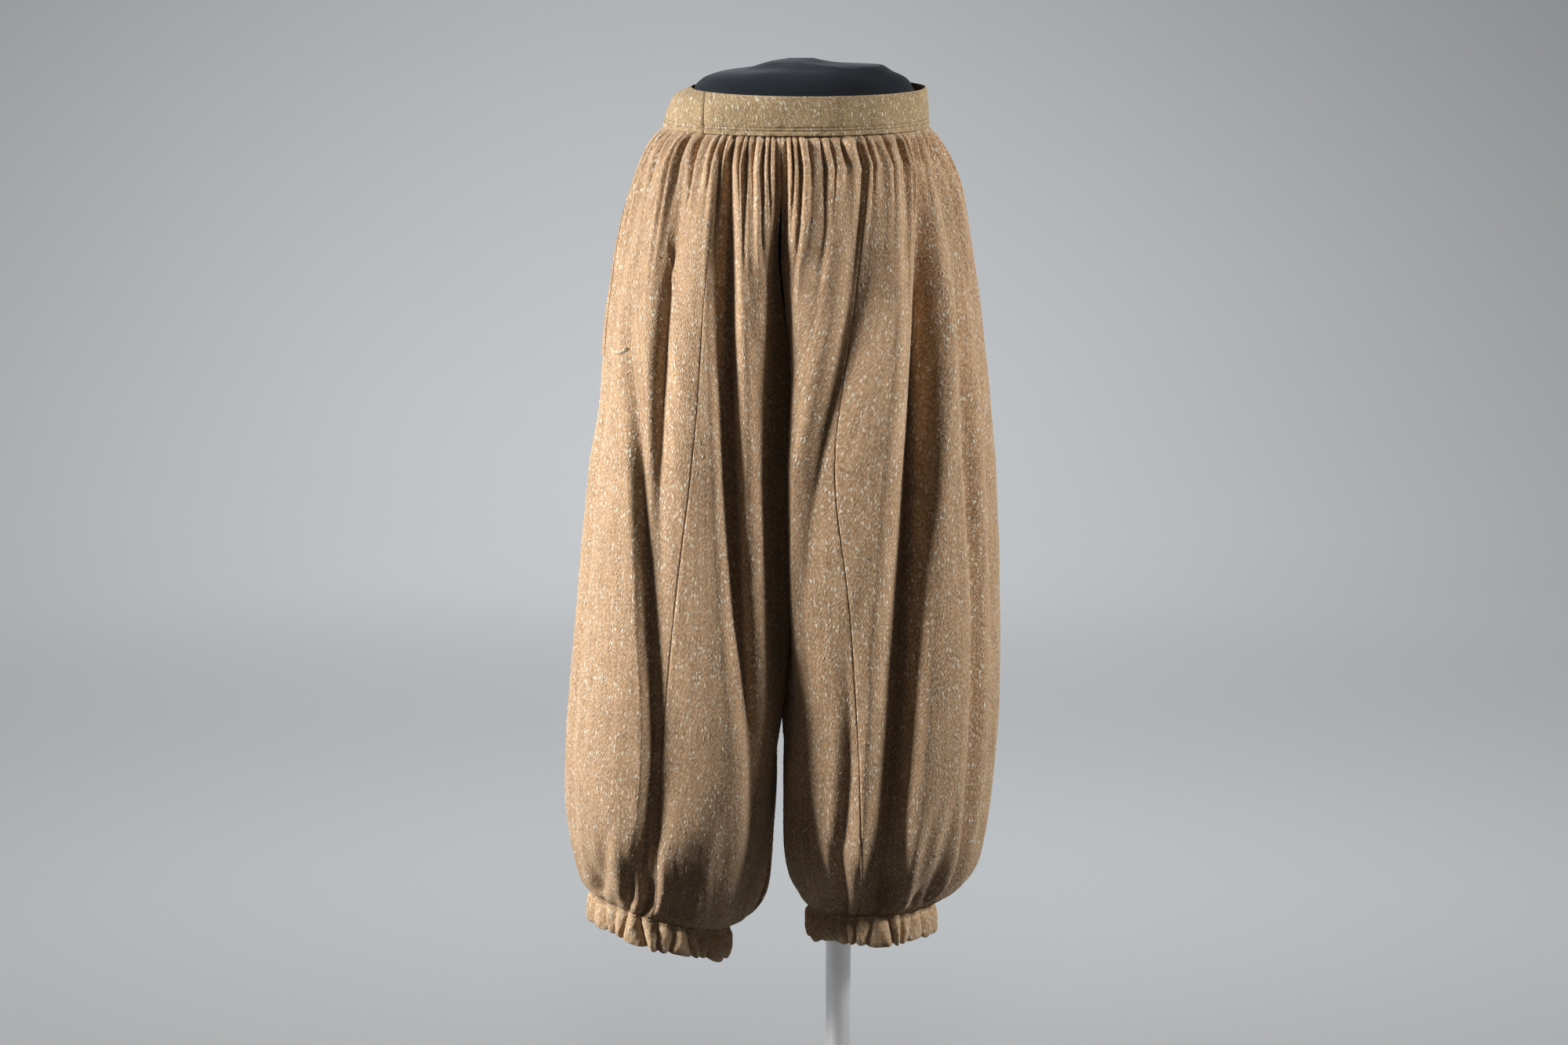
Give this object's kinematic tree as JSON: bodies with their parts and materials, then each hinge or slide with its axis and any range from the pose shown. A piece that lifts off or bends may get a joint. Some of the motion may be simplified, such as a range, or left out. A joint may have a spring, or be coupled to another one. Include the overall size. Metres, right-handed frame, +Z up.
{
  "type": "bloomers on a limbless dress form",
  "caption": "Full gathered wool bloomers with a waistband and ruffled elastic cuffs, filled out on a limbless dress form with a pole and a round base.",
  "frame": {"origin": "on the floor at the middle of the base plate's underside, on the pole's axis", "axes": "+Z up the pole, the garment's front faces -Y, +X is to the right in the picture, which is the wearer's left"},
  "size_m": [0.4515, 0.36, 1.089],
  "materials": {
    "wool_twill": "brushed tan wool twill with pale neps",
    "band_twill": "finer yellow tan wool twill",
    "form_cloth": "dark navy cloth",
    "satin_steel": "satin grey metal",
    "painted_base": "grey satin paint"
  },
  "bodies": {
    "root": {"waistband_front": "band_twill", "waistband_back": "band_twill", "right_leg_front": "wool_twill", "right_leg_inset": "wool_twill", "right_leg_back": "wool_twill", "left_leg_front": "wool_twill", "left_leg_inset": "wool_twill", "left_leg_back": "wool_twill", "placket": "wool_twill", "right_cuff": "band_twill", "left_cuff": "band_twill", "form_torso": "form_cloth", "pole": "satin_steel", "pole_collar": "satin_steel", "base_plate": "painted_base"}
  },
  "joints": []
}
